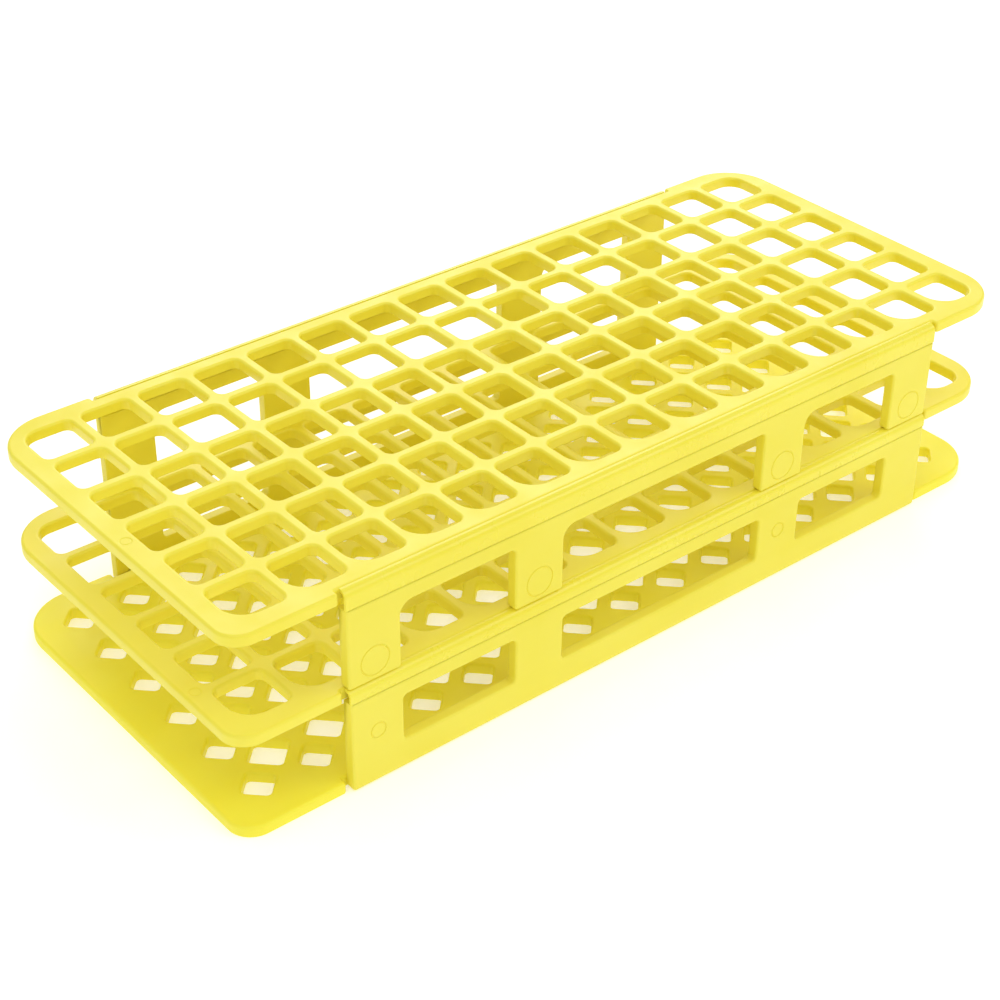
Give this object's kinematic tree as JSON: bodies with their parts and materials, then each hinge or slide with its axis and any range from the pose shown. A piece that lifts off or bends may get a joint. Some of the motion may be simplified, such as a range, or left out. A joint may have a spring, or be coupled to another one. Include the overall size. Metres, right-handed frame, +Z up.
{
  "type": "test tube holder",
  "caption": "Rack that holds small test tubes upright through two decks of square holes over a base deck, on side panels with windows that fold down on moulded hinge strips.",
  "frame": {"origin": "middle of the underside of the bottom deck, on the table", "axes": "+X along the rack, +Y across it towards the rear, +Z up"},
  "size_m": [0.2486, 0.1072, 0.056],
  "materials": {
    "yellow_plastic": "satin moulded polypropylene"
  },
  "bodies": {
    "bottom_deck": {"bottom_deck": "yellow_plastic"},
    "middle_deck": {"middle_deck": "yellow_plastic", "lower_front_hinge": "yellow_plastic", "lower_rear_hinge": "yellow_plastic"},
    "lower_front_panel": {"lower_front_panel": "yellow_plastic"},
    "lower_rear_panel": {"lower_rear_panel": "yellow_plastic"},
    "top_deck": {"top_deck": "yellow_plastic", "upper_front_hinge": "yellow_plastic", "upper_rear_hinge": "yellow_plastic"},
    "upper_front_panel": {"upper_front_panel": "yellow_plastic"},
    "upper_rear_panel": {"upper_rear_panel": "yellow_plastic"}
  },
  "joints": [
    {"name": "middle_lift", "type": "slide", "parent": "bottom_deck", "child": "middle_deck", "axis": [0, 0, 1], "range_m": [0, 0.06]},
    {"name": "lower_front_fold", "type": "hinge", "parent": "middle_deck", "child": "lower_front_panel", "pos_m": [0, -0.05285, 0.02825], "axis": [-1, 0, 0], "range_deg": [0, 90], "deforming": ["lower_front_hinge"]},
    {"name": "lower_rear_fold", "type": "hinge", "parent": "middle_deck", "child": "lower_rear_panel", "pos_m": [0, 0.05285, 0.02825], "axis": [1, 0, 0], "range_deg": [0, 90], "deforming": ["lower_rear_hinge"]},
    {"name": "top_lift", "type": "slide", "parent": "middle_deck", "child": "top_deck", "axis": [0, 0, 1], "range_m": [0, 0.05]},
    {"name": "upper_front_fold", "type": "hinge", "parent": "top_deck", "child": "upper_front_panel", "pos_m": [0, -0.05235, 0.05525], "axis": [-1, 0, 0], "range_deg": [0, 90], "deforming": ["upper_front_hinge"]},
    {"name": "upper_rear_fold", "type": "hinge", "parent": "top_deck", "child": "upper_rear_panel", "pos_m": [0, 0.05235, 0.05525], "axis": [1, 0, 0], "range_deg": [0, 90], "deforming": ["upper_rear_hinge"]}
  ]
}
